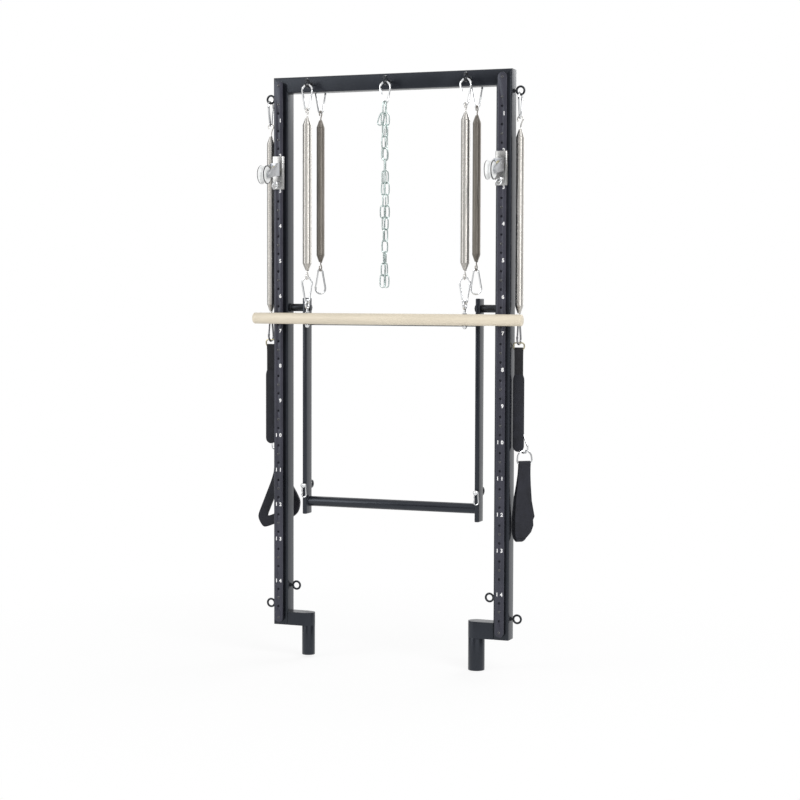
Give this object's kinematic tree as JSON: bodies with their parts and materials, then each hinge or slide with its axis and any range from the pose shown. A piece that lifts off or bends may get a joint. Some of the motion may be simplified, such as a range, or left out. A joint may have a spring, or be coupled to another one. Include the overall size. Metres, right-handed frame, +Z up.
{
  "type": "pilates tower unit",
  "caption": "Steel arch frame with numbered side strips, hanging springs, wooden roll-down bar, chain, straps, sliding pulleys and a swinging push-through bar.",
  "frame": {"origin": "middle of the plane on which the feet rest, on the middle plane of the frame tubes", "axes": "+X to the right seen from the side with the numbered strips, +Y away from that side, +Z up"},
  "size_m": [0.8594, 0.2246, 1.667],
  "materials": {
    "black_paint": "satin powder coat",
    "strip_black": "satin anodised black",
    "black_steel": "black oxide",
    "chrome": "bright plated",
    "spring_steel": "bright drawn wire",
    "zinc": "zinc plated",
    "brass": "polished",
    "maple": "clear lacquered maple",
    "webbing": "black nylon webbing and padding",
    "nylon": "pale moulded nylon",
    "fork_grey": "dark grey plated steel"
  },
  "bodies": {
    "tower_frame": {"left_upright": "black_paint", "right_upright": "black_paint", "top_rail": "black_paint", "left_foot": "black_paint", "right_foot": "black_paint", "left_scale_strip": "strip_black", "right_scale_strip": "strip_black", "left_lower_outer_eyebolt": "black_steel", "right_lower_outer_eyebolt": "black_steel", "left_lower_inner_eyebolt": "black_steel", "right_lower_inner_eyebolt": "black_steel", "left_pivot_pin": "black_steel", "right_pivot_pin": "black_steel"},
    "roll_down_lines": {"left_front_upper_snap": "chrome", "right_front_upper_snap": "chrome", "left_front_spring": "spring_steel", "right_front_spring": "spring_steel"},
    "roll_down": {"left_front_lower_snap": "chrome", "right_front_lower_snap": "chrome", "roll_down_bar": "maple", "left_bar_eyebolt": "chrome", "right_bar_eyebolt": "chrome"},
    "left_rear_line": {"left_rear_upper_snap": "chrome", "left_rear_spring": "spring_steel"},
    "left_rear_hook": {"left_rear_lower_snap": "chrome"},
    "left_side_line": {"left_side_upper_snap": "chrome", "left_side_spring": "spring_steel"},
    "left_strap": {"left_side_lower_snap": "chrome", "left_strap_ring": "brass", "left_hand_strap": "webbing"},
    "left_loop": {"left_loop_snap": "chrome", "left_d_ring": "chrome", "left_foot_loop": "webbing"},
    "right_rear_line": {"right_rear_upper_snap": "chrome", "right_rear_spring": "spring_steel"},
    "right_rear_hook": {"right_rear_lower_snap": "chrome"},
    "right_side_line": {"right_side_upper_snap": "chrome", "right_side_spring": "spring_steel"},
    "right_strap": {"right_side_lower_snap": "chrome", "right_strap_ring": "brass", "right_hand_strap": "webbing"},
    "right_loop": {"right_loop_snap": "chrome", "right_d_ring": "chrome", "right_foot_loop": "webbing"},
    "chain": {"chain_snap": "chrome", "chain": "zinc"},
    "left_carriage": {"left_pulley_carriage": "chrome"},
    "left_pin": {"left_pull_knob": "chrome"},
    "left_fork": {"left_pulley_fork": "fork_grey"},
    "left_wheel": {"left_pulley_wheel": "nylon"},
    "right_carriage": {"right_pulley_carriage": "chrome"},
    "right_pin": {"right_pull_knob": "chrome"},
    "right_fork": {"right_pulley_fork": "fork_grey"},
    "right_wheel": {"right_pulley_wheel": "nylon"},
    "push_through": {"left_bar_arm": "black_paint", "right_bar_arm": "black_paint", "upper_crossbar": "black_paint", "lower_crossbar": "black_paint"},
    "left_link": {"left_arm_link": "chrome"},
    "right_link": {"right_arm_link": "chrome"}
  },
  "joints": [
    {"name": "roll_down_swing", "type": "hinge", "parent": "tower_frame", "child": "roll_down_lines", "pos_m": [0, -0.05515, 1.5478], "axis": [-1, 0, 0], "range_deg": [0, 70]},
    {"name": "roll_down_stretch", "type": "slide", "parent": "roll_down_lines", "child": "roll_down", "axis": [0, 0, -1], "range_m": [0, 0.4], "stiffness_N_per_m": 300, "springref_m": -0.03, "deforming": ["left_front_spring", "right_front_spring"]},
    {"name": "left_rear_swing", "type": "hinge", "parent": "tower_frame", "child": "left_rear_line", "pos_m": [-0.238, 0.038, 1.5478], "axis": [1, 0, 0], "range_deg": [-7, 80]},
    {"name": "left_rear_stretch", "type": "slide", "parent": "left_rear_line", "child": "left_rear_hook", "axis": [0, 0, -1], "range_m": [0, 0.4], "stiffness_N_per_m": 250, "springref_m": -0.01, "deforming": ["left_rear_spring"]},
    {"name": "left_side_swing", "type": "hinge", "parent": "tower_frame", "child": "left_side_line", "pos_m": [-0.3775, 0, 1.505], "axis": [1, 0, 0], "range_deg": [-1, 75]},
    {"name": "left_side_stretch", "type": "slide", "parent": "left_side_line", "child": "left_strap", "axis": [0, 0, -1], "range_m": [0, 0.45], "stiffness_N_per_m": 250, "springref_m": -0.03, "deforming": ["left_side_spring"]},
    {"name": "left_loop_swing", "type": "hinge", "parent": "left_strap", "child": "left_loop", "pos_m": [-0.3775, 0.01085, 0.5902], "axis": [1, 0, 0], "range_deg": [0, 60]},
    {"name": "right_rear_swing", "type": "hinge", "parent": "tower_frame", "child": "right_rear_line", "pos_m": [0.238, 0.038, 1.5478], "axis": [1, 0, 0], "range_deg": [-7, 80]},
    {"name": "right_rear_stretch", "type": "slide", "parent": "right_rear_line", "child": "right_rear_hook", "axis": [0, 0, -1], "range_m": [0, 0.4], "stiffness_N_per_m": 250, "springref_m": -0.01, "deforming": ["right_rear_spring"]},
    {"name": "right_side_swing", "type": "hinge", "parent": "tower_frame", "child": "right_side_line", "pos_m": [0.3775, 0, 1.505], "axis": [1, 0, 0], "range_deg": [-1, 75]},
    {"name": "right_side_stretch", "type": "slide", "parent": "right_side_line", "child": "right_strap", "axis": [0, 0, -1], "range_m": [0, 0.195], "stiffness_N_per_m": 250, "springref_m": -0.03, "deforming": ["right_side_spring"]},
    {"name": "right_loop_swing", "type": "hinge", "parent": "right_strap", "child": "right_loop", "pos_m": [0.3775, 0.01085, 0.5902], "axis": [1, 0, 0], "range_deg": [0, 60]},
    {"name": "chain_swing", "type": "hinge", "parent": "tower_frame", "child": "chain", "pos_m": [0, -0.05515, 1.5478], "axis": [-1, 0, 0], "range_deg": [0, 70]},
    {"name": "left_carriage_slide", "type": "slide", "parent": "tower_frame", "child": "left_carriage", "axis": [0, 0, 1], "range_m": [-0.33, 0.19]},
    {"name": "left_pin_pull", "type": "slide", "parent": "left_carriage", "child": "left_pin", "axis": [0, -1, 0], "range_m": [0, 0.008], "stiffness_N_per_m": 300, "springref_m": -0.004},
    {"name": "left_fork_swivel", "type": "hinge", "parent": "left_carriage", "child": "left_fork", "pos_m": [-0.33675, -0.06, 1.312], "axis": [0, 1, 0], "range_deg": [-180, 180]},
    {"name": "left_wheel_spin", "type": "hinge", "parent": "left_fork", "child": "left_wheel", "pos_m": [-0.33675, -0.12925, 1.293], "axis": [1, 0, 0], "continuous": true},
    {"name": "right_carriage_slide", "type": "slide", "parent": "tower_frame", "child": "right_carriage", "axis": [0, 0, 1], "range_m": [-0.33, 0.19]},
    {"name": "right_pin_pull", "type": "slide", "parent": "right_carriage", "child": "right_pin", "axis": [0, -1, 0], "range_m": [0, 0.008], "stiffness_N_per_m": 300, "springref_m": -0.004},
    {"name": "right_fork_swivel", "type": "hinge", "parent": "right_carriage", "child": "right_fork", "pos_m": [0.33675, -0.06, 1.312], "axis": [0, 1, 0], "range_deg": [-180, 180]},
    {"name": "right_wheel_spin", "type": "hinge", "parent": "right_fork", "child": "right_wheel", "pos_m": [0.33675, -0.12925, 1.293], "axis": [1, 0, 0], "continuous": true},
    {"name": "push_through_swing", "type": "hinge", "parent": "tower_frame", "child": "push_through", "pos_m": [0, 0, 0.919], "axis": [1, 0, 0], "range_deg": [-18, 130]},
    {"name": "left_link_swing", "type": "hinge", "parent": "push_through", "child": "left_link", "pos_m": [-0.26265, -0.0225, 0.408], "axis": [0, 1, 0], "range_deg": [-60, 60]},
    {"name": "right_link_swing", "type": "hinge", "parent": "push_through", "child": "right_link", "pos_m": [0.26265, -0.0225, 0.408], "axis": [0, 1, 0], "range_deg": [-60, 60]}
  ]
}
